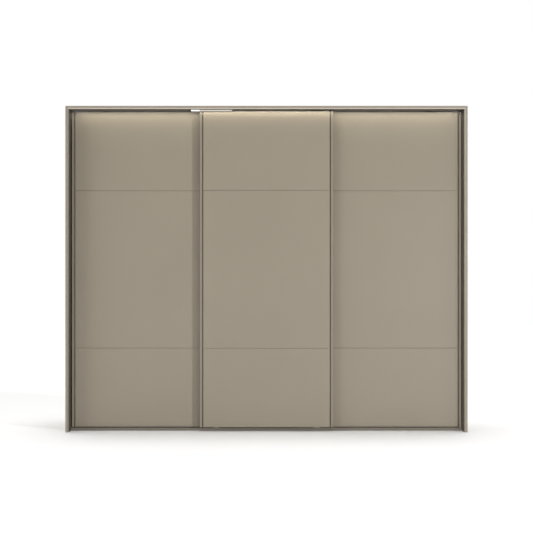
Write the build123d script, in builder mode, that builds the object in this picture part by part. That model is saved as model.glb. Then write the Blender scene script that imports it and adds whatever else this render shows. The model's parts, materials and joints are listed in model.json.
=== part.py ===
from build123d import *
import os

# Sliding door wardrobe: a carcase of three bays, a surround frame with a light under its top,
# and three hanging doors. X runs right, Y runs back, Z runs up, all in millimetres.
# The origin lies on the floor, under the middle of the whole wardrobe.

# Overall size
WIDTH = 3000
DEPTH = 690
HEIGHT = 2435
FRONT_Y = -DEPTH / 2
BACK_Y = DEPTH / 2

# Surround frame
FRAME_BOARD = 23
FRAME_DEPTH = 200
FRAME_BEVEL = 8
OPENING_X = WIDTH / 2 - FRAME_BOARD
OPENING_TOP = HEIGHT - FRAME_BOARD
FRAME_BACK_Y = FRONT_Y + FRAME_DEPTH
STRIP_HEIGHT = 22
STRIP_Y = (-246, -230)
FRAME_BRACKET_X = (-1250, -420, 420, 1250)
FRAME_BRACKET_FOOT = 30
FRAME_BRACKET_WIDTH = 60
FRAME_BRACKET_TOP = 2430
STRIP_ARRIS = 2

# Light in the underside of the frame's top panel
LIGHT_Y = (-333, -315)
LIGHT_DEPTH = 10
LIGHT_END_GAP = 40
LIGHT_WALL = 1.5
LED_TAPE = (10, 1.2)
DIFFUSER_RECESS = 4
DIFFUSER_THICK = 2
DRIVER_SIZE = (170, 46, 24)
DRIVER_PLACE = (1180, -60)
DRIVER_CORNER = 4
INLET_SIZE = (14, 8, 10)
SENSOR_X = (-565, -257)
SENSOR_Y = (-309, -287)
SENSOR_HEIGHT = 5.5
SENSOR_CORNER = 3

# Doors: three alike, the centre one in the front plane
DOOR_WIDTH = 1000
DOOR_THICK = 22
DOOR_BOTTOM = 31
DOOR_TOP = 2405
DOOR_HEIGHT = DOOR_TOP - DOOR_BOTTOM
OUTER_DOOR_X = 969
OUTER_FACE_Y = -257
CENTRE_FACE_Y = -291
PROFILE_WALL = 1.6
LIP_WIDTH = 15
FIELD_INSET = 25
FIELD_THICK = 10
FLANGE_END = 35
RAIL_LIP = 8
RAIL_HEIGHT = 44
CROSS_BAR_HEIGHT = 40
FIELD_JOINT = 2
FIELD_ARRIS = 0.6
SEAL_INSET = 12
SEAL_WIDTH = 6
SEAL_DEPTH = 7
SEAL_Z = (100, 2285)

# Running gear
STEEL = 3
ROLLER_RADIUS = 16
ROLLER_WIDTH = 10
ROLLER_BORE = 3.05
ROLLER_HOLES = 5
ROLLER_HOLE_RADIUS = 2.2
ROLLER_HOLE_CIRCLE = 9.5
ROLLER_GAP = 0.3
ROLLER_CORNER = 1
AXLE_RADIUS = 3
AXLE_HEAD_RADIUS = 5
AXLE_HEAD_THICK = 1.5
AXLE_CLEARANCE = 0.6
HANGER_OFFSET = 380
HANGER_PLATE_WIDTH = 90
HANGER_PLATE_BOTTOM = 2300
HANGER_BRIDGE_WIDTH = 50
HANGER_LEG_BOTTOM = 2364
HANGER_CORNER = 6
OUTER_BRIDGE_TOP = 2399
CENTRE_BRIDGE_TOP = 2409.5
CENTRE_BRIDGE_THICK = 2.5
SCREW_SLOT = (24, 7)
SCREW_SPACING = 34
OUTER_LANE_Y = -207
CENTRE_LANE_Y = -168
LEG_BEHIND_LANE = 8
LOCK_OFFSET = 38
LOCK_PIVOT_Z = 2380
LOCK_LENGTH = 26
LOCK_WIDTH = 12
LOCK_THICK = 2.5
LOCK_GAP = 0.5
LOCK_PIN_RADIUS = 3
LOCK_BORE = 3.05
LOCK_CORNER = 2

# Carcase
BOARD = 18
CARCASE_FRONT_Y = -223
CARCASE_BOTTOM = 6
CARCASE_TOP = 2352
PARTITION_X = 492
BOTTOM_PANEL_Z = 48
BACK_PANEL_Y = 318
BACK_PANEL_THICK = 4
BACK_JOINT = 2
JOINT_STRIP = (30, 2)
PLINTH_Y = (-205, 280)
FOOT_RADIUS = 8.5
FOOT_Y = (-180, 289)
FOOT_ARRIS = 1
HAT_SHELF_Z = 2010
SHELF_FRONT_Y = -200
SHELF_END_GAP = 1
SHELF_BACK_GAP = 2
MIDDLE_SHELF_Z = (440, 830, 1220, 1610)
PIN_RADIUS = 2.5
PIN_IN_BOARD = 10
PIN_OUT = 8
PIN_Y = (-150, 270)
PIN_PITCH = 32
CAM_RADIUS = 7.5
CAM_DEPTH = 12
CAM_INSET = 24
CAM_Y = (-140, 240)
CAM_SLOT = (7.5, 1.5)
RAIL_Z = 1925
RAIL_Y = 60
RAIL_SIZE = (15, 30)
RAIL_WALL = 1.5
RAIL_END_GAP = 1
CUP_THICK = 4
CUP_RIM = 3
EDGE_ARRIS = 0.8

# Tracks
TRACK_BASE = 3
TRACK_Y = (-224, -140)
TRACK_END = 1475
TRACK_RIB_HEIGHT = 7
TRACK_RIB = 1.5
TRACK_RIB_GAP = 6
STOP_X = (1367.5, 1400)
STOP_WIDTH = 9
STOP_HEIGHT = 17
STOP_CORNER = 2
BOTTOM_TRACK_Z = (30, 66)
BOTTOM_TRACK_WALL = 2
FIN_Y = (-231, -229)
FIN_Z = (34, 58)
WEB_Z = (45, 47)

# Bottom guides
SHOE_LENGTH = 60
SHOE_BACK_Y = -226.5
SHOE_Z = (49, 75)
SHOE_SLOT_TOP = 61
GUIDE_SLOT_Y = (-231.5, -228.5)
FORK_LENGTH = 40
FORK_Z = (25, 90)
FORK_THICK = 2.5
FORK_Y = (-234, -226.5)
FORK_FINGER_TOP = 42

# Wall fixing
WALL_BRACKET_X = 1100
WALL_BRACKET_WIDTH = 60
WALL_BRACKET_FOOT = 75
WALL_BRACKET_TOP = 2400
WALL_HOLE_RADIUS = 3
WALL_HOLE_SPACING = 30
WALL_HOLE_Z = 2380

BAYS = (
    (-OPENING_X + BOARD, -PARTITION_X - BOARD / 2),
    (-PARTITION_X + BOARD / 2, PARTITION_X - BOARD / 2),
    (PARTITION_X + BOARD / 2, OPENING_X - BOARD),
)
TRACK_TOP = CARCASE_TOP + TRACK_BASE
ROLLER_Z = TRACK_TOP + ROLLER_GAP + ROLLER_RADIUS
FIELD_LOW = DOOR_BOTTOM + RAIL_LIP
FIELD_HIGH = DOOR_TOP - RAIL_LIP
FIELD_QUARTER = DOOR_HEIGHT / 4
JOINTS_Z = (DOOR_BOTTOM + FIELD_QUARTER, DOOR_TOP - FIELD_QUARTER)


def block(x_span, y_span, z_span, mode=Mode.ADD):
    """Add or cut a box between three spans in the part that is being built."""
    spans = (x_span, y_span, z_span)
    with Locations(tuple((low + high) / 2 for low, high in spans)):
        Box(*(high - low for low, high in spans), mode=mode)


def save(piece, label):
    """Label a finished piece and write it as its own node."""
    piece.part.label = label
    export_step(piece.part, f"parts/{label}.step")


def around(middle, width):
    """Span of a width about its middle."""
    return (middle - width / 2, middle + width / 2)


def wall_plane(y):
    """Upright plane at a depth y: its sketches read (x, z) and extrude towards the front."""
    return Plane.XZ.offset(-y)


# ---------------------------------------------------------------- surround frame

def frame_board(outline, bevel_edge):
    """One mitred frame board from its front outline, with the inner front edge bevelled."""
    with BuildPart() as board:
        with BuildSketch(wall_plane(FRAME_BACK_Y)):
            with BuildLine():
                Polyline(*outline, close=True)
            make_face()
        extrude(amount=FRAME_DEPTH)
        chamfer(board.faces().sort_by(Axis.Y)[0].edges().sort_by(bevel_edge)[0], FRAME_BEVEL)
    return board


def make_frame():
    """Left, right and top boards, the floor strip and the brackets behind the top board."""
    for side, sign in (("left", -1), ("right", 1)):
        outline = [
            (sign * WIDTH / 2, 0),
            (sign * OPENING_X, 0),
            (sign * OPENING_X, OPENING_TOP),
            (sign * WIDTH / 2, HEIGHT),
        ]
        save(frame_board(outline, lambda edge, s=sign: s * edge.center().X), f"frame_{side}")

    top_outline = [
        (-WIDTH / 2, HEIGHT),
        (WIDTH / 2, HEIGHT),
        (OPENING_X, OPENING_TOP),
        (-OPENING_X, OPENING_TOP),
    ]
    top = frame_board(top_outline, Axis.Z)
    with top:
        light_x = OPENING_X - LIGHT_END_GAP
        block((-light_x, light_x), LIGHT_Y, (OPENING_TOP, OPENING_TOP + LIGHT_DEPTH), Mode.SUBTRACT)
    save(top, "frame_top")

    with BuildPart() as floor_strip:
        block((-OPENING_X, OPENING_X), STRIP_Y, (0, STRIP_HEIGHT))
        chamfer(floor_strip.edges().filter_by(Axis.X).group_by(Axis.Z)[-1], STRIP_ARRIS)
    save(floor_strip, "frame_floor_strip")

    with BuildPart() as brackets:
        for x in FRAME_BRACKET_X:
            bracket_x = around(x, FRAME_BRACKET_WIDTH)
            foot_back = FRAME_BACK_Y + FRAME_BRACKET_FOOT
            block(bracket_x, (FRAME_BACK_Y, FRAME_BACK_Y + STEEL), (TRACK_TOP, FRAME_BRACKET_TOP))
            block(bracket_x, (FRAME_BACK_Y, foot_back), (TRACK_TOP, TRACK_TOP + STEEL))
    save(brackets, "frame_brackets")


def make_light():
    """Light channel, tape, diffuser and sensor in the top board, and the driver on the carcase."""
    end = OPENING_X - LIGHT_END_GAP
    ceiling = OPENING_TOP + LIGHT_DEPTH
    with BuildPart() as channel:
        block((-end, end), LIGHT_Y, (OPENING_TOP, ceiling))
        inner_y = (LIGHT_Y[0] + LIGHT_WALL, LIGHT_Y[1] - LIGHT_WALL)
        block((-end, end), inner_y, (OPENING_TOP, ceiling - LIGHT_WALL), Mode.SUBTRACT)
    save(channel, "light_channel")

    with BuildPart() as tape:
        tape_y = around(sum(LIGHT_Y) / 2, LED_TAPE[0])
        tape_top = ceiling - LIGHT_WALL
        block((-end, end), tape_y, (tape_top - LED_TAPE[1], tape_top))
    save(tape, "light_tape")

    with BuildPart() as diffuser:
        diffuser_low = OPENING_TOP + DIFFUSER_RECESS
        block((-end, end), inner_y, (diffuser_low, diffuser_low + DIFFUSER_THICK))
    save(diffuser, "light_diffuser")

    with BuildPart() as sensor:
        sensor_z = (OPENING_TOP - SENSOR_HEIGHT, OPENING_TOP)
        block(SENSOR_X, SENSOR_Y, sensor_z)
        fillet(sensor.edges().filter_by(Axis.Z), SENSOR_CORNER)
    save(sensor, "light_sensor_cover")

    with BuildPart() as driver:
        length, depth, height = DRIVER_SIZE
        x, y = DRIVER_PLACE
        block((x, x + length), (y, y + depth), (CARCASE_TOP, CARCASE_TOP + height))
        fillet(driver.edges().filter_by(Axis.Z), DRIVER_CORNER)
        inlet_x = (x + length - INLET_SIZE[2], x + length)
        inlet_z = around(CARCASE_TOP + height / 2, INLET_SIZE[1])
        block(inlet_x, around(y + depth / 2, INLET_SIZE[0]), inlet_z, Mode.SUBTRACT)
    save(driver, "light_driver")


# ---------------------------------------------------------------- carcase

def make_upright(x_span, back, hole_sides, label):
    """Side or partition board with rows of shelf pin holes in the given faces."""
    with BuildPart() as upright:
        block(x_span, (CARCASE_FRONT_Y, back), (CARCASE_BOTTOM, CARCASE_TOP))
        chamfer(upright.faces().sort_by(Axis.Y)[0].edges().filter_by(Axis.Z), EDGE_ARRIS)
        for face_x, inward in hole_sides:
            places = [
                (face_x, y, z - PIN_RADIUS + step * PIN_PITCH)
                for y in PIN_Y
                for z in MIDDLE_SHELF_Z
                for step in (-1, 0, 1)
            ]
            with Locations(*places):
                Cylinder(PIN_RADIUS, 2 * PIN_IN_BOARD, rotation=(0, inward * 90, 0), mode=Mode.SUBTRACT)
    save(upright, label)


def panel_with_cams(bay, y_span, z_span, cam_face):
    """Add one panel of a bay, with sinks for the four cam fittings in one of its faces."""
    block(bay, y_span, z_span)
    with Locations(*cam_places(bay, cam_face)):
        Cylinder(CAM_RADIUS, 2 * CAM_DEPTH, mode=Mode.SUBTRACT)


def cam_places(bay, z):
    """Centres of the four cam fittings of a panel, at a height z."""
    return [(x, y, z) for x in (bay[0] + CAM_INSET, bay[1] - CAM_INSET) for y in CAM_Y]


def make_carcase():
    """Sides, partitions, panels, plinth, feet and the fittings that join them."""
    bottom_z = (BOTTOM_PANEL_Z, BOTTOM_PANEL_Z + BOARD)
    top_z = (CARCASE_TOP - BOARD, CARCASE_TOP)
    hat_z = (HAT_SHELF_Z, HAT_SHELF_Z + BOARD)
    partition = around(PARTITION_X, BOARD)
    make_upright((-OPENING_X, -OPENING_X + BOARD), BACK_Y, [], "carcase_side_left")
    make_upright((OPENING_X - BOARD, OPENING_X), BACK_Y, [], "carcase_side_right")
    make_upright((-partition[1], -partition[0]), BACK_PANEL_Y, [(-partition[0], 1)], "partition_left")
    make_upright(partition, BACK_PANEL_Y, [(partition[0], 1)], "partition_right")

    full_depth = (CARCASE_FRONT_Y, BACK_PANEL_Y)
    with BuildPart() as bottom_panels:
        for bay in BAYS:
            panel_with_cams(bay, full_depth, bottom_z, bottom_z[0])
    save(bottom_panels, "bottom_panels")

    with BuildPart() as top_panels:
        for bay in BAYS:
            panel_with_cams(bay, full_depth, top_z, top_z[1])
    save(top_panels, "top_panels")

    with BuildPart() as hat_shelves:
        for bay in BAYS:
            panel_with_cams(bay, (SHELF_FRONT_Y, BACK_PANEL_Y), hat_z, hat_z[0])
    save(hat_shelves, "hat_shelves")

    with BuildPart() as cams:
        for bay in BAYS:
            for z in (bottom_z[0], hat_z[0], top_z[1] - CAM_DEPTH):
                with Locations(*cam_places(bay, z + CAM_DEPTH / 2)):
                    Cylinder(CAM_RADIUS, CAM_DEPTH)
                    Box(*CAM_SLOT, CAM_DEPTH, mode=Mode.SUBTRACT)
    save(cams, "cam_fittings")

    back_edges = (-OPENING_X + BOARD, -PARTITION_X, PARTITION_X, OPENING_X - BOARD)
    back_y = (BACK_PANEL_Y, BACK_PANEL_Y + BACK_PANEL_THICK)
    with BuildPart() as back_panels:
        for left, right in zip(back_edges[:-1], back_edges[1:]):
            block((left + BACK_JOINT / 2, right - BACK_JOINT / 2), back_y, (BOTTOM_PANEL_Z, CARCASE_TOP))
    save(back_panels, "back_panels")

    with BuildPart() as joint_strips:
        for x in (-PARTITION_X, PARTITION_X):
            strip_y = (back_y[1], back_y[1] + JOINT_STRIP[1])
            block(around(x, JOINT_STRIP[0]), strip_y, (BOTTOM_PANEL_Z, CARCASE_TOP))
    save(joint_strips, "back_joint_strips")

    with BuildPart() as plinth:
        for bay in BAYS:
            for y in PLINTH_Y:
                block(bay, (y, y + BOARD), (CARCASE_BOTTOM, BOTTOM_PANEL_Z))
    save(plinth, "plinth_boards")

    with BuildPart() as feet:
        foot_x = (-OPENING_X + BOARD / 2, -PARTITION_X, PARTITION_X, OPENING_X - BOARD / 2)
        with Locations(*((x, y, CARCASE_BOTTOM / 2) for x in foot_x for y in FOOT_Y)):
            Cylinder(FOOT_RADIUS, CARCASE_BOTTOM)
        chamfer(feet.edges().group_by(Axis.Z)[0], FOOT_ARRIS)
    save(feet, "levelling_feet")


def make_shelves():
    """Adjustable shelves of the middle bay and the pins that carry them."""
    left, right = BAYS[1]
    with BuildPart() as shelves:
        for z in MIDDLE_SHELF_Z:
            shelf_x = (left + SHELF_END_GAP, right - SHELF_END_GAP)
            block(shelf_x, (SHELF_FRONT_Y, BACK_PANEL_Y - SHELF_BACK_GAP), (z, z + BOARD))
        chamfer(shelves.faces().group_by(Axis.Y)[0].edges().filter_by(Axis.X), EDGE_ARRIS)
    save(shelves, "middle_shelves")

    with BuildPart() as pins:
        for wall_x, inward in ((left, 1), (right, -1)):
            middle = wall_x + inward * (PIN_OUT - PIN_IN_BOARD) / 2
            with Locations(*((middle, y, z - PIN_RADIUS) for y in PIN_Y for z in MIDDLE_SHELF_Z)):
                Cylinder(PIN_RADIUS, PIN_IN_BOARD + PIN_OUT, rotation=(0, 90, 0))
    save(pins, "shelf_pins")


def make_hanging_rails():
    """Oval tube rails of the outer bays and the cups that hold their ends."""
    for side, bay in (("left", BAYS[0]), ("right", BAYS[2])):
        with BuildPart() as rail:
            with BuildSketch(Plane.YZ.offset(bay[0] + RAIL_END_GAP)):
                with Locations((RAIL_Y, RAIL_Z)):
                    SlotOverall(RAIL_SIZE[1], RAIL_SIZE[0], rotation=90)
                offset(amount=-RAIL_WALL, mode=Mode.SUBTRACT)
            extrude(amount=bay[1] - bay[0] - 2 * RAIL_END_GAP)
        save(rail, f"hanging_rail_{side}")

    with BuildPart() as cups:
        for bay in (BAYS[0], BAYS[2]):
            for x in (bay[0], bay[1] - CUP_THICK):
                with BuildSketch(Plane.YZ.offset(x)):
                    with Locations((RAIL_Y, RAIL_Z)):
                        SlotOverall(RAIL_SIZE[1] + 2 * CUP_RIM, RAIL_SIZE[0] + 2 * CUP_RIM, rotation=90)
                        SlotOverall(RAIL_SIZE[1], RAIL_SIZE[0], rotation=90, mode=Mode.SUBTRACT)
                extrude(amount=CUP_THICK)
    save(cups, "rail_cups")


# ---------------------------------------------------------------- tracks

def make_tracks():
    """Two-lane top track, its end stops and the bottom track with the guiding fin."""
    with BuildPart() as top_track:
        block((-TRACK_END, TRACK_END), TRACK_Y, (CARCASE_TOP, TRACK_TOP))
        for lane_y in (OUTER_LANE_Y, CENTRE_LANE_Y):
            for sign in (-1, 1):
                near = lane_y + sign * TRACK_RIB_GAP
                rib_y = sorted((near, near + sign * TRACK_RIB))
                block((-TRACK_END, TRACK_END), rib_y, (TRACK_TOP, TRACK_TOP + TRACK_RIB_HEIGHT))
    save(top_track, "top_track")

    with BuildPart() as stops:
        for sign in (-1, 1):
            for lane_y in (OUTER_LANE_Y, CENTRE_LANE_Y):
                stop_x = sorted((sign * STOP_X[0], sign * STOP_X[1]))
                block(stop_x, around(lane_y, STOP_WIDTH), (TRACK_TOP, TRACK_TOP + STOP_HEIGHT))
        fillet(stops.edges().filter_by(Axis.Z), STOP_CORNER)
    save(stops, "track_stops")

    with BuildPart() as bottom_track:
        wall_y = (CARCASE_FRONT_Y - BOTTOM_TRACK_WALL, CARCASE_FRONT_Y)
        block((-TRACK_END, TRACK_END), wall_y, BOTTOM_TRACK_Z)
        block((-TRACK_END, TRACK_END), (FIN_Y[0], wall_y[0]), WEB_Z)
        block((-TRACK_END, TRACK_END), FIN_Y, FIN_Z)
    save(bottom_track, "bottom_track")


def make_wall_brackets():
    """Steel angles on the carcase top that are screwed to the wall."""
    with BuildPart() as brackets:
        for x in (-WALL_BRACKET_X, WALL_BRACKET_X):
            bracket_x = around(x, WALL_BRACKET_WIDTH)
            block(bracket_x, (BACK_Y - WALL_BRACKET_FOOT, BACK_Y), (CARCASE_TOP, TRACK_TOP))
            block(bracket_x, (BACK_Y - STEEL, BACK_Y), (CARCASE_TOP, WALL_BRACKET_TOP))
            holes = [(x + side * WALL_HOLE_SPACING / 2, BACK_Y, WALL_HOLE_Z) for side in (-1, 1)]
            with Locations(*holes):
                Cylinder(WALL_HOLE_RADIUS, 4 * STEEL, rotation=(90, 0, 0), mode=Mode.SUBTRACT)
    save(brackets, "wall_brackets")


# ---------------------------------------------------------------- doors

def make_handle(door, edge_x, face_y, inward, side):
    """Grip profile of one door edge: a lip, a finger groove and a flange behind the fields."""
    outline = [
        (0, 0),
        (LIP_WIDTH, 0),
        (LIP_WIDTH, FIELD_THICK),
        (FLANGE_END, FIELD_THICK),
        (FLANGE_END, DOOR_THICK),
        (0, DOOR_THICK),
    ]
    with BuildPart() as handle:
        with BuildSketch(Plane.XY.offset(DOOR_BOTTOM)):
            with BuildLine():
                Polyline(*((edge_x + inward * u, face_y + v) for u, v in outline), close=True)
            make_face()
            offset(amount=-PROFILE_WALL, kind=Kind.INTERSECTION, mode=Mode.SUBTRACT)
        extrude(amount=DOOR_HEIGHT)
    save(handle, f"{door}_door_handle_{side}")


def tube_bar(x_span, y_span, z_span):
    """Add a rectangular tube that lies along X."""
    inner_y = (y_span[0] + PROFILE_WALL, y_span[1] - PROFILE_WALL)
    inner_z = (z_span[0] + PROFILE_WALL, z_span[1] - PROFILE_WALL)
    block(x_span, y_span, z_span)
    block(x_span, inner_y, inner_z, Mode.SUBTRACT)


def make_panel_work(door, centre_x, face_y):
    """Rails, cross bars, field panels and brush seals of one door."""
    back_y = (face_y + FIELD_THICK, face_y + DOOR_THICK)
    bar_x = around(centre_x, DOOR_WIDTH - 2 * FLANGE_END)
    lip_x = around(centre_x, DOOR_WIDTH - 2 * FIELD_INSET)
    with BuildPart() as rails:
        for bar_z, lip_z in (
            ((DOOR_BOTTOM, DOOR_BOTTOM + RAIL_HEIGHT), (DOOR_BOTTOM, FIELD_LOW)),
            ((DOOR_TOP - RAIL_HEIGHT, DOOR_TOP), (FIELD_HIGH, DOOR_TOP)),
        ):
            tube_bar(bar_x, back_y, bar_z)
            block(lip_x, (face_y, back_y[0]), lip_z)
        for joint_z in JOINTS_Z:
            tube_bar(bar_x, back_y, around(joint_z, CROSS_BAR_HEIGHT))
    save(rails, f"{door}_door_rails")

    half_joint = FIELD_JOINT / 2
    levels = (FIELD_LOW - half_joint, *JOINTS_Z, FIELD_HIGH + half_joint)
    with BuildPart() as fields:
        for low, high in zip(levels[:-1], levels[1:]):
            block(lip_x, (face_y, back_y[0]), (low + half_joint, high - half_joint))
        chamfer(fields.faces().group_by(Axis.Y)[0].edges(), FIELD_ARRIS)
    save(fields, f"{door}_door_fields")

    with BuildPart() as seals:
        for sign in (-1, 1):
            outer = centre_x + sign * (DOOR_WIDTH / 2 - SEAL_INSET)
            seal_x = sorted((outer, outer - sign * SEAL_WIDTH))
            block(seal_x, (back_y[1], back_y[1] + SEAL_DEPTH), SEAL_Z)
    save(seals, f"{door}_door_brush_seals")


def add_hanger(x, plate_y, bridge_z, leg_y, lane_y):
    """Add a bent steel hanger with its riveted stub axle."""
    plate_z = (HANGER_PLATE_BOTTOM, bridge_z[1])
    with BuildSketch(wall_plane(plate_y + STEEL)) as plate:
        with Locations((x, sum(plate_z) / 2)):
            RectangleRounded(HANGER_PLATE_WIDTH, plate_z[1] - plate_z[0], HANGER_CORNER)
        slot_z = HANGER_PLATE_BOTTOM + SCREW_SPACING
        with Locations((x - SCREW_SPACING / 2, slot_z), (x + SCREW_SPACING / 2, slot_z)):
            SlotOverall(*SCREW_SLOT, rotation=90, mode=Mode.SUBTRACT)
    extrude(plate.sketch, amount=STEEL)
    bridge_x = around(x, HANGER_BRIDGE_WIDTH)
    block(bridge_x, (plate_y, leg_y + STEEL), bridge_z)
    block(bridge_x, (leg_y, leg_y + STEEL), (HANGER_LEG_BOTTOM, bridge_z[1]))

    roller_y = around(lane_y, ROLLER_WIDTH)
    head_y = roller_y[0] - AXLE_CLEARANCE
    steps = (
        (AXLE_RADIUS, leg_y, head_y),
        (AXLE_HEAD_RADIUS, head_y, head_y - AXLE_HEAD_THICK),
        (AXLE_HEAD_RADIUS, leg_y, roller_y[1] + AXLE_CLEARANCE),
    )
    for radius, start_y, end_y in steps:
        pin_step(radius, x, ROLLER_Z, start_y, end_y)


def pin_step(radius, x, z, start_y, end_y):
    """Add one step of a pin that lies along Y, from its back to its front."""
    with BuildSketch(wall_plane(start_y)) as step:
        with Locations((x, z)):
            Circle(radius)
    extrude(step.sketch, amount=start_y - end_y)


def add_lock_pin(x, plate_back_y):
    """Add the headed pin on which a lift lock lever turns."""
    lever_back = plate_back_y + LOCK_GAP + LOCK_THICK
    head_y = (lever_back + LOCK_GAP, lever_back + LOCK_GAP + AXLE_HEAD_THICK)
    pin_step(LOCK_PIN_RADIUS, x, LOCK_PIVOT_Z, head_y[1], plate_back_y)
    pin_step(AXLE_HEAD_RADIUS, x, LOCK_PIVOT_Z, head_y[1], head_y[0])


def make_running_gear(door, centre_x, back_y, bridge_z, lane_y, lock_sign):
    """Hangers and rollers of one door, and its lift lock lever where it has one."""
    leg_y = lane_y + LEG_BEHIND_LANE
    hanger_x = {"left": centre_x - HANGER_OFFSET, "right": centre_x + HANGER_OFFSET}
    lock_x = centre_x + lock_sign * (HANGER_OFFSET + LOCK_OFFSET)
    with BuildPart() as hangers:
        for x in hanger_x.values():
            add_hanger(x, back_y, bridge_z, leg_y, lane_y)
        if lock_sign:
            add_lock_pin(lock_x, back_y + STEEL)
    save(hangers, f"{door}_door_hangers")

    for side, x in hanger_x.items():
        with BuildPart() as roller:
            with BuildSketch(wall_plane(lane_y + ROLLER_WIDTH / 2)):
                with Locations((x, ROLLER_Z)):
                    Circle(ROLLER_RADIUS)
                    Circle(ROLLER_BORE, mode=Mode.SUBTRACT)
                    with PolarLocations(ROLLER_HOLE_CIRCLE, ROLLER_HOLES):
                        Circle(ROLLER_HOLE_RADIUS, mode=Mode.SUBTRACT)
            extrude(amount=ROLLER_WIDTH)
            rims = roller.edges().filter_by(GeomType.CIRCLE).group_by(SortBy.RADIUS)[-1]
            fillet(rims, ROLLER_CORNER)
        save(roller, f"{door}_door_roller_{side}")

    if lock_sign:
        lever_back = back_y + STEEL + LOCK_GAP + LOCK_THICK
        with BuildPart() as lever:
            with BuildSketch(wall_plane(lever_back)):
                with Locations((lock_x, LOCK_PIVOT_Z)):
                    Circle(LOCK_WIDTH / 2)
                with Locations((lock_x, LOCK_PIVOT_Z + LOCK_LENGTH / 2)):
                    Rectangle(LOCK_WIDTH, LOCK_LENGTH)
                with Locations((lock_x, LOCK_PIVOT_Z)):
                    Circle(LOCK_BORE, mode=Mode.SUBTRACT)
            extrude(amount=LOCK_THICK)
            fillet(lever.edges().filter_by(Axis.Y).group_by(Axis.Z)[-1], LOCK_CORNER)
        save(lever, f"{door}_door_lift_lock")


def make_shoes(door, centre_x, back_y):
    """Slotted nylon shoes that straddle the bottom fin from above."""
    with BuildPart() as shoes:
        for x in (centre_x - HANGER_OFFSET, centre_x + HANGER_OFFSET):
            shoe_x = around(x, SHOE_LENGTH)
            block(shoe_x, (back_y, SHOE_BACK_Y), SHOE_Z)
            block(shoe_x, GUIDE_SLOT_Y, (SHOE_Z[0], SHOE_SLOT_TOP), Mode.SUBTRACT)
    save(shoes, f"{door}_door_guides")


def make_forks(door, centre_x, back_y):
    """Steel forks that pass under the outer doors and straddle the bottom fin from below."""
    with BuildPart() as forks:
        for x in (centre_x - HANGER_OFFSET, centre_x + HANGER_OFFSET):
            fork_x = around(x, FORK_LENGTH)
            arm_top = FORK_Z[0] + FORK_THICK
            block(fork_x, (back_y, back_y + FORK_THICK), FORK_Z)
            block(fork_x, (back_y, FORK_Y[1]), (FORK_Z[0], arm_top))
            for finger_y in ((FORK_Y[0], GUIDE_SLOT_Y[0]), (GUIDE_SLOT_Y[1], FORK_Y[1])):
                block(fork_x, finger_y, (arm_top, FORK_FINGER_TOP))
    save(forks, f"{door}_door_guides")


def make_door(door, centre_x, face_y, bridge_z, lane_y, lock_sign):
    """One whole door with its profiles, panels and running gear."""
    for side, sign in (("left", -1), ("right", 1)):
        make_handle(door, centre_x + sign * DOOR_WIDTH / 2, face_y, -sign, side)
    make_panel_work(door, centre_x, face_y)
    make_running_gear(door, centre_x, face_y + DOOR_THICK, bridge_z, lane_y, lock_sign)


def main():
    os.makedirs("parts", exist_ok=True)
    make_frame()
    make_light()
    make_carcase()
    make_shelves()
    make_hanging_rails()
    make_tracks()
    make_wall_brackets()

    outer_bridge = (OUTER_BRIDGE_TOP - STEEL, OUTER_BRIDGE_TOP)
    centre_bridge = (CENTRE_BRIDGE_TOP - CENTRE_BRIDGE_THICK, CENTRE_BRIDGE_TOP)
    for door, sign in (("left", -1), ("right", 1)):
        make_door(door, sign * OUTER_DOOR_X, OUTER_FACE_Y, outer_bridge, OUTER_LANE_Y, -sign)
        make_shoes(door, sign * OUTER_DOOR_X, OUTER_FACE_Y + DOOR_THICK)
    make_door("centre", 0, CENTRE_FACE_Y, centre_bridge, CENTRE_LANE_Y, 0)
    make_forks("centre", 0, CENTRE_FACE_Y + DOOR_THICK)


main()
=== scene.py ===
import json
import math
import random

import bpy
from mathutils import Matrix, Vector


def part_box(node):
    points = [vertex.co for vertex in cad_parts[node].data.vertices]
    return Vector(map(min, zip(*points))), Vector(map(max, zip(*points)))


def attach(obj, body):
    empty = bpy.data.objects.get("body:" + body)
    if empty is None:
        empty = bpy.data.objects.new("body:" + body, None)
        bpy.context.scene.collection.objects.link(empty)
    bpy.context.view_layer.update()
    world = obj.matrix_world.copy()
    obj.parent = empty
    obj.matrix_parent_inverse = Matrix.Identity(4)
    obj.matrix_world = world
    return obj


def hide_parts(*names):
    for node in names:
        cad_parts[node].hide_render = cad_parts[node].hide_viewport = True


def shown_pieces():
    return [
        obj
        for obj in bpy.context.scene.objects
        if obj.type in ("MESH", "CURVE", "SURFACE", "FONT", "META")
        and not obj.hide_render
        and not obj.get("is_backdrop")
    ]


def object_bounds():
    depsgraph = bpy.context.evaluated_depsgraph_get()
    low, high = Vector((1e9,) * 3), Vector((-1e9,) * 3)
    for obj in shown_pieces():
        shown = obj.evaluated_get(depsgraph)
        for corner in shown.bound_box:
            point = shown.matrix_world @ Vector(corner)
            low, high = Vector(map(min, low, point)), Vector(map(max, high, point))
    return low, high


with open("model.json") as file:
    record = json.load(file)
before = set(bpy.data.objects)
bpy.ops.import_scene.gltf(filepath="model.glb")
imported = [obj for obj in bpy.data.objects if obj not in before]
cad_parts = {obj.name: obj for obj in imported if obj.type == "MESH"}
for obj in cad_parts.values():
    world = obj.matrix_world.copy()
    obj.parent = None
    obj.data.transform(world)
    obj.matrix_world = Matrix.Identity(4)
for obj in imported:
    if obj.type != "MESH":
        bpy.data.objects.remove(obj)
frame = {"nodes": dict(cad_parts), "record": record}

CAD_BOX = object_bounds()
MM = 0.001
DOORS = ("left", "centre", "right")
SIDES = ("left", "right")
RIGHT = (1, 0, 0)
BACK = (0, 1, 0)
UP = (0, 0, 1)

# Sizes of the frame's pieces that the added pieces follow, in metres
STEEL = 0.003
FORK_STEEL = 0.0025
LIP_WIDTH = 0.015
FIELD_THICK = 0.010
BRUSH_WIDTH = 0.006

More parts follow.
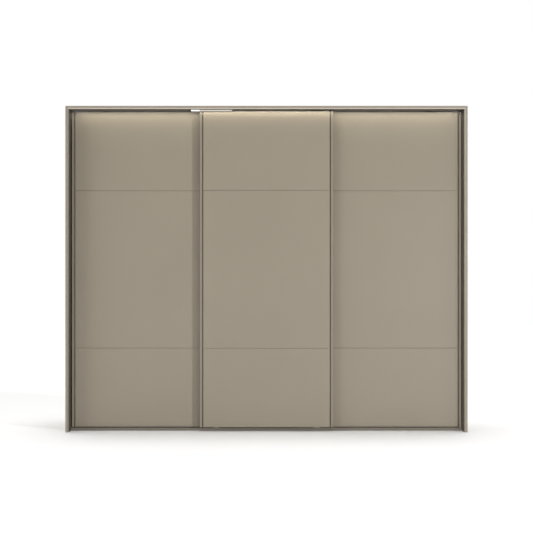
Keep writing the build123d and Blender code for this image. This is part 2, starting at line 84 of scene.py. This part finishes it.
# Screws and inlet pins: rings of radius, height and whether hexagonal, in millimetres
TURNED_STEPS = 24
SCREW_RINGS = (
    (4.0, 0.0, False),
    (4.0, 0.5, False),
    (3.6, 1.2, False),
    (2.8, 1.7, False),
    (2.0, 1.9, False),
    (1.9, 1.9, True),
    (1.8, 0.7, True),
)
PIN_RINGS = ((1.1, 0.0, False), (1.1, 6.5, False), (0.6, 7.5, False))

# Places of the screws and pins on the pieces that hold them, in metres, and the track's count
HANGER_SCREW_X = 0.017
HANGER_SCREW_Z = 0.034
FORK_SCREW_X = 0.012
FORK_SCREW_Z = 0.012
TRACK_SCREWS = 9
TRACK_SCREW_INSET = 0.05
BRACKET_HALF = 0.030
BRACKET_SCREW_X = 0.015
WALL_SCREW_Y = 0.050
INLET_DEPTH = 0.010
INLET_PIN_OFFSET = 0.003

# End caps: rings of inset from the outline and depth below the end, in millimetres
CAP_RINGS = ((1.7, 4.0), (1.7, 0.8), (2.2, 0.3))

# Brush seals, in millimetres: the slant turns a tuft's flat side, and the lean moves its tip
BRUSH_SEED = 7
CARRIER_OUTLINE = ((-3, 0), (3, 0), (3, 1.2), (1.6, 2.2), (-1.6, 2.2), (-3, 1.2))
TUFT_ROWS = (-1.5, -0.75, 0, 0.75, 1.5)
TUFT_PITCH = 3.2
TUFT_FOOT = 1.5
TUFT_TIP = (6.0, 6.9)
TUFT_HALF = 0.9
TUFT_SLANT = 0.35
TUFT_LEAN = 0.5

# Surface noise: its usual values, its detail, and how much finer gloss varies than colour
NOISE_RANGE = (0.3, 0.7)
PATCH_DETAIL = 3.0
GRAIN_DETAIL = 2.0
GLOSS_FINENESS = 6

# Lacquer of the surround: its colour, the painted shade put on its inner faces, and how squarely a
# bevel and an inner face look inward to take their painted light and shade
SURROUND = (0.290, 0.254, 0.203)
SURROUND_INNER_PAINTED_SHADE = (0.055, 0.046, 0.036)
PAINTED_BEVEL_FACING = 0.5
PAINTED_SHADE_FACING = 0.9

# Painted glow of the sensor's cover, which is no lamp, and painted highlight of the window at its
# left end, with sizes in metres
COVER_PAINTED_GLOW = (0.14, 0.13, 0.11)
WINDOW_PAINTED_HIGHLIGHT = (0.9, 0.9, 0.88)
WINDOW_LENGTH = 0.062
WINDOW_EDGE = 0.002

# Camera: level, in front of the middle of the wardrobe
CAMERA_DISTANCE = 6.8
CAMERA_HEIGHT = 0.987
CAMERA_LENS = 61.6
CAMERA_SHIFT_Y = 0.0629

# Studio: the floor, in metres, and the radiance behind and in front of the wardrobe
FLOOR_SIZE = 60
FLOOR_DROP = 0.0005
FLOOR_COLOR = (0.95, 0.95, 0.95)
STUDIO_BACK = 0.6
STUDIO_FRONT = 0.02
HORIZON_BLEND = 0.15

# Lights: strength, place, target and width of each one, in degrees for a sun, else in metres
OVERHEAD_STRENGTH = 2.25
OVERHEAD_PLACE = (0, 0, 6)
OVERHEAD_TARGET = (0, 0, 0)
OVERHEAD_ANGLE = 36
FRONT_POWER = 85
FRONT_PLACE = (4.5, -6.5, 1.5)
FRONT_TARGET = (0, 0, 1.2)
FRONT_SIZE = 3.0
KEY_STRENGTH = 2.0
KEY_PLACE = (5.35, -3.3, 2.2)
KEY_ANGLE = 3.5
FILL_STRENGTH = 2.25
FILL_PLACE = (-6.0, -2.7, 2.0)
FILL_ANGLE = 35
SIDE_TARGET = (0, -0.3, 1.2)
GLOW_POWER = 1.6
GLOW_COLOR = (1.0, 0.95, 0.80)
GLOW_AIM = (0, 1, -1)
GLOW_DROP = 0.002
GLOW_WIDTH = 0.008


# ---------------------------------------------------------------- materials

def new_material(name):
    """Empty node material with a Principled shader on its output."""
    material = bpy.data.materials.new(name)
    material.use_nodes = True
    tree = material.node_tree
    tree.nodes.clear()
    output = tree.nodes.new("ShaderNodeOutputMaterial")
    shader = tree.nodes.new("ShaderNodeBsdfPrincipled")
    tree.links.new(shader.outputs["BSDF"], output.inputs["Surface"])
    return material, tree, shader


def object_noise(tree, scale, detail=GRAIN_DETAIL, stretch=(1, 1, 1)):
    """Noise in object space, in cycles per metre, stretched along the axes."""
    place = tree.nodes.new("ShaderNodeTexCoord")
    mapping = tree.nodes.new("ShaderNodeMapping")
    mapping.inputs["Scale"].default_value = stretch
    noise = tree.nodes.new("ShaderNodeTexNoise")
    noise.inputs["Scale"].default_value = scale
    noise.inputs["Detail"].default_value = detail
    tree.links.new(place.outputs["Object"], mapping.inputs["Vector"])
    tree.links.new(mapping.outputs["Vector"], noise.inputs["Vector"])
    return noise


def spread(tree, noise, low, high):
    """Map a noise node's usual range to a range of values."""
    span = tree.nodes.new("ShaderNodeMapRange")
    span.inputs["From Min"].default_value = NOISE_RANGE[0]
    span.inputs["From Max"].default_value = NOISE_RANGE[1]
    span.inputs["To Min"].default_value = low
    span.inputs["To Max"].default_value = high
    tree.links.new(noise.outputs["Fac"], span.inputs["Value"])
    return span.outputs["Result"]


def combine(tree, operation, first, second):
    """Result of a math operation on two sockets or numbers."""
    node = tree.nodes.new("ShaderNodeMath")
    node.operation = operation
    for socket, value in zip(node.inputs, (first, second)):
        if isinstance(value, (int, float)):
            socket.default_value = value
        else:
            tree.links.new(value, socket)
    return node.outputs[0]


def step_between(tree, value, low, high):
    """Smooth step of a value from 0 at low to 1 at high."""
    span = tree.nodes.new("ShaderNodeMapRange")
    span.interpolation_type = "SMOOTHSTEP"
    span.inputs["From Min"].default_value = low
    span.inputs["From Max"].default_value = high
    tree.links.new(value, span.inputs["Value"])
    return span.outputs["Result"]


def tint(tree, shader, noise, color, change):
    """Vary the base colour by a small share, lighter and darker."""
    mix = tree.nodes.new("ShaderNodeMix")
    mix.data_type = "RGBA"
    mix.inputs["A"].default_value = (*(c * (1 - change) for c in color), 1)
    mix.inputs["B"].default_value = (*(c * (1 + change) for c in color), 1)
    tree.links.new(spread(tree, noise, 0, 1), mix.inputs["Factor"])
    tree.links.new(mix.outputs["Result"], shader.inputs["Base Color"])


def bump(tree, shader, noise, height):
    """Raise the surface by a noise, to a height in metres."""
    node = tree.nodes.new("ShaderNodeBump")
    node.inputs["Strength"].default_value = 1.0
    node.inputs["Distance"].default_value = height
    tree.links.new(noise.outputs["Fac"], node.inputs["Height"])
    tree.links.new(node.outputs["Normal"], shader.inputs["Normal"])


def surface(name, color, roughness, *, change, patch, grain, relief,
            metallic=0.0, stretch=(1, 1, 1), rough_change=0.04):
    """Common material: slow colour change, fine relief and uneven gloss.

    The colour changes by a share of itself, patch and grain are in cycles per metre, and the
    relief is in metres.
    """
    material, tree, shader = new_material(name)
    shader.inputs["Metallic"].default_value = metallic
    slow = object_noise(tree, patch, PATCH_DETAIL, stretch)
    tint(tree, shader, slow, color, change)
    fine = object_noise(tree, grain, GRAIN_DETAIL, stretch)
    bump(tree, shader, fine, relief)
    medium = object_noise(tree, patch * GLOSS_FINENESS, PATCH_DETAIL, stretch)
    rough = spread(tree, medium, roughness - rough_change, roughness + rough_change)
    tree.links.new(rough, shader.inputs["Roughness"])
    return material


def shader_of(material):
    """Principled shader of a material."""
    return next(node for node in material.node_tree.nodes if node.type == "BSDF_PRINCIPLED")


def lacquer(name, color):
    """Silk matt sprayed lacquer with a faint orange peel."""
    material = surface(
        name, color, roughness=0.42, change=0.018, patch=1.7, grain=420, relief=4e-5
    )
    shader = shader_of(material)
    shader.inputs["IOR"].default_value = 1.45
    shader.inputs["Coat Weight"].default_value = 0.08
    shader.inputs["Coat Roughness"].default_value = 0.3
    return material


def surround_lacquer(name, inward, painted_bevel_shading):
    """Lacquer of a surround board with painted light and shade: its bevel takes a lighter or
    darker colour given per board, and its inward face a dark painted shade.
    """
    material = lacquer(name, SURROUND)
    tree = material.node_tree
    shader = shader_of(material)
    color = shader.inputs["Base Color"].links[0].from_socket
    facing = tree.nodes.new("ShaderNodeVectorMath")
    facing.operation = "DOT_PRODUCT"
    facing.inputs[1].default_value = inward
    geometry = tree.nodes.new("ShaderNodeNewGeometry")
    tree.links.new(geometry.outputs["True Normal"], facing.inputs[0])
    # Painted light and shade: the bevel takes the board's given colour, and the inner faces a dark
    # painted shade
    for limit, painted_color in ((PAINTED_BEVEL_FACING, painted_bevel_shading), (PAINTED_SHADE_FACING, SURROUND_INNER_PAINTED_SHADE)):
        mix = tree.nodes.new("ShaderNodeMix")
        mix.data_type = "RGBA"
        mix.inputs["B"].default_value = (*painted_color, 1)
        turned = combine(tree, "GREATER_THAN", facing.outputs["Value"], limit)
        tree.links.new(turned, mix.inputs["Factor"])
        tree.links.new(color, mix.inputs["A"])
        color = mix.outputs["Result"]
    tree.links.new(color, shader.inputs["Base Color"])
    return material


def cover_with_painted_glow(name, color):
    """White cover of the light's sensor, with a painted glow though it is no lamp, and a painted
    highlight at its left end.
    """
    material = surface(
        name, color, roughness=0.3, change=0.02, patch=20, grain=1400, relief=1e-5
    )
    tree = material.node_tree
    shader = shader_of(material)
    place = tree.nodes.new("ShaderNodeTexCoord")
    axes = tree.nodes.new("ShaderNodeSeparateXYZ")
    tree.links.new(place.outputs["Object"], axes.inputs["Vector"])
    window_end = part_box("light_sensor_cover")[0].x + WINDOW_LENGTH
    # Painted glow over the whole cover, and a bright painted highlight on the window at its left
    # end
    mix = tree.nodes.new("ShaderNodeMix")
    mix.data_type = "RGBA"
    mix.inputs["A"].default_value = (*COVER_PAINTED_GLOW, 1)
    mix.inputs["B"].default_value = (*WINDOW_PAINTED_HIGHLIGHT, 1)
    lit = step_between(tree, axes.outputs["X"], window_end + WINDOW_EDGE, window_end - WINDOW_EDGE)
    tree.links.new(lit, mix.inputs["Factor"])
    tree.links.new(mix.outputs["Result"], shader.inputs["Emission Color"])
    shader.inputs["Emission Strength"].default_value = 1.0
    return material


def melamine(name, color):
    """Melamine faced board: a fine pressed pore in a plain colour."""
    return surface(name, color, roughness=0.5, change=0.03, patch=9, grain=1600, relief=3e-5)


def metal(name, color, roughness, stretch=(1, 1, 1), relief=6e-6):
    """Bare metal, with the marks of its drawing or rolling along the stretched axis."""
    return surface(
        name, color, roughness, change=0.04, patch=14, grain=500, relief=relief,
        metallic=1.0, stretch=stretch, rough_change=0.06,
    )


def plastic(name, color, roughness=0.45):
    """Moulded plastic with a fine spark eroded texture."""
    return surface(
        name, color, roughness, change=0.02, patch=20, grain=1400, relief=2.5e-5
    )


def pile(name, color):
    """Brush pile, matt with a soft sheen."""
    material = surface(
        name, color, roughness=0.85, change=0.25, patch=160, grain=2400, relief=6e-5
    )
    shader = shader_of(material)
    shader.inputs["Sheen Weight"].default_value = 0.4
    shader.inputs["Sheen Roughness"].default_value = 0.5
    return material


def glowing(name, color, strength):
    """Opal diffuser, lit from behind."""
    material, tree, shader = new_material(name)
    tint(tree, shader, object_noise(tree, scale=30), color, change=0.02)
    shader.inputs["Roughness"].default_value = 0.35
    shader.inputs["Emission Color"].default_value = (*color, 1)
    shader.inputs["Emission Strength"].default_value = strength
    return material


# Finish of each of the record's material slots
MATERIALS = {
    "front_lacquer": lacquer("front_lacquer", (0.277, 0.240, 0.185)),
    "surround_lacquer": lacquer("surround_lacquer", SURROUND),
    # The sensor's cover has a painted glow and a painted highlight, though it is no lamp
    "sensor_plastic": cover_with_painted_glow("sensor_plastic", (0.85, 0.84, 0.80)),
    "profile_lacquer": lacquer("profile_lacquer", (0.250, 0.218, 0.172)),
    "carcase_board": melamine("carcase_board", (0.40, 0.35, 0.28)),
    "back_board": melamine("back_board", (0.36, 0.31, 0.25)),
    "fitting_plastic": plastic("fitting_plastic", (0.20, 0.18, 0.15)),
    "roller_nylon": plastic("roller_nylon", (0.72, 0.71, 0.66), roughness=0.35),
    "stop_rubber": plastic("stop_rubber", (0.03, 0.03, 0.03), roughness=0.7),
    "zinc_steel": metal("zinc_steel", (0.62, 0.62, 0.60), roughness=0.34),
    "track_aluminium": metal(
        "track_aluminium", (0.78, 0.78, 0.79), roughness=0.32, stretch=(0.02, 1, 1)
    ),
    "rail_chrome": metal(
        "rail_chrome", (0.85, 0.85, 0.86), roughness=0.09, stretch=(0.05, 1, 1), relief=1e-6
    ),
    "seal_brush": pile("seal_brush", (0.16, 0.14, 0.11)),
    "light_tape": plastic("light_tape", (0.85, 0.84, 0.80)),
    "light_diffuser": glowing("light_diffuser", (1.0, 0.88, 0.68), strength=0.05),
}

# Finish of the CAD nodes that differ a little from their slot's: painted shade on the surround's
# inner faces, painted light and shade on its bevels, and a floor strip darkened as painted shade
NODE_MATERIALS = {
    # Left board: bevel darkened as painted shade
    "frame_left": surround_lacquer(
        "frame_left", inward=(1, 0, 0), painted_bevel_shading=(0.16, 0.14, 0.11)
    ),
    # Right board: bevel darkened a little as painted shade
    "frame_right": surround_lacquer(
        "frame_right", inward=(-1, 0, 0), painted_bevel_shading=(0.26, 0.23, 0.18)
    ),
    # Top board: bevel lightened as a painted highlight
    "frame_top": surround_lacquer(
        "frame_top", inward=(0, 0, -1), painted_bevel_shading=(0.50, 0.45, 0.375)
    ),
    # Floor strip darkened as painted shade cast by the doors
    "frame_floor_strip": lacquer("frame_floor_strip", (0.20, 0.175, 0.14)),
    "light_channel": metal(
        "light_channel", (0.03, 0.03, 0.03), roughness=0.5, stretch=(0.02, 1, 1)
    ),
}


def dress_nodes():
    """Give each CAD node its own finish, or else the finish of its slot."""
    for part in frame["record"]["subparts"]:
        name = part["node"]
        mesh = frame["nodes"][name].data
        mesh.materials.clear()
        mesh.materials.append(NODE_MATERIALS.get(name, MATERIALS[part["material_slot"]]))


# ---------------------------------------------------------------- added pieces

def add_piece(name, verts, faces, body, slot):
    """Piece of a mesh in metres that rides on a body and has the finish of a slot."""
    mesh = bpy.data.meshes.new(name)
    mesh.from_pydata([tuple(vert) for vert in verts], [], faces)
    mesh.materials.append(MATERIALS[slot])
    piece = bpy.data.objects.new(name, mesh)
    bpy.context.scene.collection.objects.link(piece)
    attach(piece, body)
    return piece


def join_rings(faces, first, count, rings):
    """Add the faces between rings of vertices, and the face that closes the last ring."""
    for ring in range(rings - 1):
        for step in range(count):
            low = first + ring * count + step
            near = first + ring * count + (step + 1) % count
            faces.append((low, near, near + count, low + count))
    last = first + (rings - 1) * count
    faces.append(tuple(range(last, last + count)))


def add_turned(name, places, axis, rings, body):
    """Turned steel pieces, such as screw heads, that stand at places and point along an axis."""
    turn = Vector(UP).rotation_difference(Vector(axis)).to_matrix()
    sixth = math.tau / 6
    verts, faces = [], []
    for place in places:
        first = len(verts)
        for radius, height, is_hexagon in rings:
            for step in range(TURNED_STEPS):
                angle = step * math.tau / TURNED_STEPS
                reach = radius * MM
                if is_hexagon:
                    reach *= math.cos(sixth / 2) / math.cos(angle % sixth - sixth / 2)
                point = Vector((reach * math.cos(angle), reach * math.sin(angle), height * MM))
                verts.append(Vector(place) + turn @ point)
        join_rings(faces, first, TURNED_STEPS, len(rings))
    add_piece(name, verts, faces, body, "zinc_steel")


def hanger_x(door, side):
    """Place along X of a door's hanger, which is in line with its roller."""
    low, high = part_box(f"{door}_door_roller_{side}")
    return (low.x + high.x) / 2


def add_hanger_screws():
    """Pan head screws that hold the hangers to the back of each door's rails."""
    for door in DOORS:
        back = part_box(f"{door}_door_rails")[1].y + STEEL
        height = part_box(f"{door}_door_hangers")[0].z + HANGER_SCREW_Z
        places = [
            (hanger_x(door, side) + offset, back, height)
            for side in SIDES
            for offset in (-HANGER_SCREW_X, HANGER_SCREW_X)
        ]
        add_turned(f"{door}_hanger_screws", places, BACK, SCREW_RINGS, f"{door}_door")


def add_fork_screws():
    """Pan head screws that hold the guide forks to the back of the centre door."""
    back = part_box("centre_door_rails")[1].y + FORK_STEEL
    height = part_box("centre_door_guides")[1].z - FORK_SCREW_Z
    places = [
        (hanger_x("centre", side) + offset, back, height)
        for side in SIDES
        for offset in (-FORK_SCREW_X, FORK_SCREW_X)
    ]
    add_turned("fork_screws", places, BACK, SCREW_RINGS, "centre_door")


def add_track_screws():
    """Pan head screws in a row along the middle of the top track."""
    low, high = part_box("top_track")
    reach = high.x - TRACK_SCREW_INSET
    places = [
        (-reach + step * 2 * reach / (TRACK_SCREWS - 1), (low.y + high.y) / 2, low.z + STEEL)
        for step in range(TRACK_SCREWS)
    ]
    add_turned("track_screws", places, UP, SCREW_RINGS, "carcase")


def add_bracket_screws():
    """Pan head screws that hold the wall brackets to the carcase."""
    low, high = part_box("wall_brackets")
    places = [
        (sign * (high.x - BRACKET_HALF + offset), high.y - WALL_SCREW_Y, low.z + STEEL)
        for sign in (-1, 1)
        for offset in (-BRACKET_SCREW_X, BRACKET_SCREW_X)
    ]
    add_turned("wall_bracket_screws", places, UP, SCREW_RINGS, "carcase")


def add_inlet_pins():
    """Contact pins inside the inlet at the right end of the light's driver."""
    low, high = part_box("light_driver")
    across, height = (low.y + high.y) / 2, (low.z + high.z) / 2
    places = [
        (high.x - INLET_DEPTH, across + offset, height)
        for offset in (-INLET_PIN_OFFSET, INLET_PIN_OFFSET)
    ]
    add_turned("inlet_pins", places, RIGHT, PIN_RINGS, "carcase")


def cap_outline(width, depth, inset):
    """Outline inside a grip profile, from its wall inward, in metres."""
    gap = inset * MM
    return (
        (gap, gap),
        (LIP_WIDTH - gap, gap),
        (LIP_WIDTH - gap, FIELD_THICK + gap),
        (width - gap, FIELD_THICK + gap),
        (width - gap, depth - gap),
        (gap, depth - gap),
    )


def add_end_caps():
    """Plastic caps that close the ends of the grip profiles."""
    for door in DOORS:
        verts, faces = [], []
        for side in SIDES:
            low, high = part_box(f"{door}_door_handle_{side}")
            edge, inward = (low.x, 1) if side == "left" else (high.x, -1)
            for end, into in ((low.z, 1), (high.z, -1)):
                first = len(verts)
                for inset, depth in CAP_RINGS:
                    outline = cap_outline(high.x - low.x, high.y - low.y, inset)
                    height = end + into * depth * MM
                    verts += [
                        (edge + inward * across, low.y + back, height)
                        for across, back in outline
                    ]
                join_rings(faces, first, len(outline), len(CAP_RINGS))
        add_piece(f"{door}_door_end_caps", verts, faces, f"{door}_door", "fitting_plastic")


def add_carrier(verts, faces, middle, low, high):
    """Carrier strip of a brush seal, round a middle in X and as high as the CAD strip's box."""
    first = len(verts)
    for z in (low.z, high.z):
        for across, out in CARRIER_OUTLINE:
            verts.append((middle + across * MM, low.y + out * MM, z))
    faces.append(tuple(range(first + len(CARRIER_OUTLINE) - 1, first - 1, -1)))
    join_rings(faces, first, len(CARRIER_OUTLINE), 2)


def add_tuft(verts, faces, foot, row, draw):
    """One flat tuft of bristles, turned to one side or the other, that narrows to its tip."""
    first = len(verts)
    slant = TUFT_SLANT if row % 2 else -TUFT_SLANT
    lean = draw.uniform(-TUFT_LEAN, TUFT_LEAN)
    tip = draw.uniform(*TUFT_TIP)
    for out, half, shift in ((TUFT_FOOT, TUFT_HALF, 0), (tip, TUFT_HALF / 2, lean)):
        for side in (-1, 1):
            along = shift + side * half
            verts.append(foot + Vector((side * half * slant, out, along)) * MM)
    faces.append((first, first + 1, first + 3, first + 2))


def add_tufts(verts, faces, middle, low, high, draw):
    """Rows of tufts on a carrier strip, each row a little higher than the one before."""
    pitch = TUFT_PITCH * MM
    for row, across in enumerate(TUFT_ROWS):
        z = low.z + pitch * (1 + row / len(TUFT_ROWS))
        while z < high.z - pitch:
            add_tuft(verts, faces, Vector((middle + across * MM, low.y, z)), row, draw)
            z += pitch


def add_brushes():
    """Brush seals of carrier strips with tufts, which stand in for the CAD strips."""
    draw = random.Random(BRUSH_SEED)
    for door in DOORS:
        node = f"{door}_door_brush_seals"
        low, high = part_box(node)
        verts, faces = [], []
        for middle in (low.x + BRUSH_WIDTH / 2, high.x - BRUSH_WIDTH / 2):
            add_carrier(verts, faces, middle, low, high)
            add_tufts(verts, faces, middle, low, high, draw)
        piece = add_piece(f"{door}_door_brush_pile", verts, faces, f"{door}_door", "seal_brush")
        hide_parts(node)


# ---------------------------------------------------------------- camera, light and stage

def make_camera():
    """Level camera in front of the middle of the wardrobe."""
    data = bpy.data.cameras.new("camera")
    data.lens = CAMERA_LENS
    data.shift_y = CAMERA_SHIFT_Y
    camera = bpy.data.objects.new("camera", data)
    camera.location = (0, CAD_BOX[0][1] - CAMERA_DISTANCE, CAMERA_HEIGHT)
    camera.rotation_euler = (math.radians(90), 0, 0)
    bpy.context.scene.collection.objects.link(camera)
    bpy.context.scene.camera = camera


def add_light(name, kind, place, target, energy, color=(1, 1, 1)):
    """Light of a kind at a place that faces a target."""
    data = bpy.data.lights.new(name, kind)
    data.energy = energy
    data.color = color
    light = bpy.data.objects.new(name, data)
    light.location = place
    direction = Vector(target) - Vector(place)
    light.rotation_euler = direction.to_track_quat("-Z", "Y").to_euler()
    bpy.context.scene.collection.objects.link(light)
    return light


def add_sun(name, place, target, strength, angle):
    """Sun light that is an angle in degrees wide."""
    light = add_light(name, "SUN", place, target, strength)
    light.data.angle = math.radians(angle)
    return light


def add_panel(name, place, target, power, sizes, color=(1, 1, 1)):
    """Rectangular light panel with two sizes in metres."""
    light = add_light(name, "AREA", place, target, power, color)
    light.data.shape = "RECTANGLE"
    light.data.size, light.data.size_y = sizes
    return light


def pieces_without(name, beginnings):
    """Collection of the shown pieces whose names have none of the beginnings."""
    chosen = bpy.data.collections.new(name)
    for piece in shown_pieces():
        if not piece.name.startswith(beginnings):
            chosen.objects.link(piece)
    return chosen


def make_floor():
    """Plain pale floor under the wardrobe."""
    bpy.ops.mesh.primitive_plane_add(size=FLOOR_SIZE, location=(0, 0, -FLOOR_DROP))
    floor = bpy.context.object
    floor.name = "studio_floor"
    material, tree, shader = new_material("studio_floor")
    tint(tree, shader, object_noise(tree, scale=0.6), FLOOR_COLOR, change=0.004)
    shader.inputs["Roughness"].default_value = 0.9
    floor.data.materials.append(material)
    floor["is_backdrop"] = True
    return floor


def make_surroundings():
    """White studio with its light behind the wardrobe; the camera sees plain white all round."""
    world = bpy.data.worlds.new("studio")
    world.use_nodes = True
    tree = world.node_tree
    background = tree.nodes["Background"]
    direction = tree.nodes.new("ShaderNodeTexCoord")
    axes = tree.nodes.new("ShaderNodeSeparateXYZ")
    tree.links.new(direction.outputs["Generated"], axes.inputs["Vector"])
    behind = step_between(tree, axes.outputs["Y"], -HORIZON_BLEND, HORIZON_BLEND)
    extra = combine(tree, "MULTIPLY", behind, STUDIO_BACK - STUDIO_FRONT)
    light = combine(tree, "ADD", extra, STUDIO_FRONT)
    seen = tree.nodes.new("ShaderNodeLightPath").outputs["Is Camera Ray"]
    tree.links.new(combine(tree, "MAXIMUM", light, seen), background.inputs["Strength"])
    background.inputs["Color"].default_value = (1, 1, 1, 1)
    bpy.context.scene.world = world
    bpy.context.scene.view_settings.view_transform = "Standard"


def make_lights(floor):
    """Overhead light, front softbox, low key from the right, left fill and the strip's glow."""
    add_sun("overhead", OVERHEAD_PLACE, OVERHEAD_TARGET, OVERHEAD_STRENGTH, OVERHEAD_ANGLE)
    add_panel("front_softbox", FRONT_PLACE, FRONT_TARGET, FRONT_POWER, (FRONT_SIZE, FRONT_SIZE))

    key = add_sun("key", KEY_PLACE, SIDE_TARGET, KEY_STRENGTH, KEY_ANGLE)
    key.light_linking.blocker_collection = pieces_without("key_casters", ("frame_",))

    fill = add_sun("left_fill", FILL_PLACE, SIDE_TARGET, FILL_STRENGTH, FILL_ANGLE)
    fill.light_linking.receiver_collection = pieces_without("fill_receivers", ())

    low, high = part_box("light_diffuser")
    line = (low + high) / 2
    line.z = low.z - GLOW_DROP
    sizes = (high.x - low.x, GLOW_WIDTH)
    glow = add_panel("strip_glow", line, line + Vector(GLOW_AIM), GLOW_POWER, sizes, GLOW_COLOR)
    receivers = pieces_without("glow_receivers", ("frame_top", "light_"))
    receivers.objects.link(floor)
    glow.light_linking.receiver_collection = receivers


dress_nodes()
add_hanger_screws()
add_fork_screws()
add_track_screws()
add_bracket_screws()
add_inlet_pins()
add_end_caps()
add_brushes()
make_camera()
make_surroundings()
make_lights(make_floor())
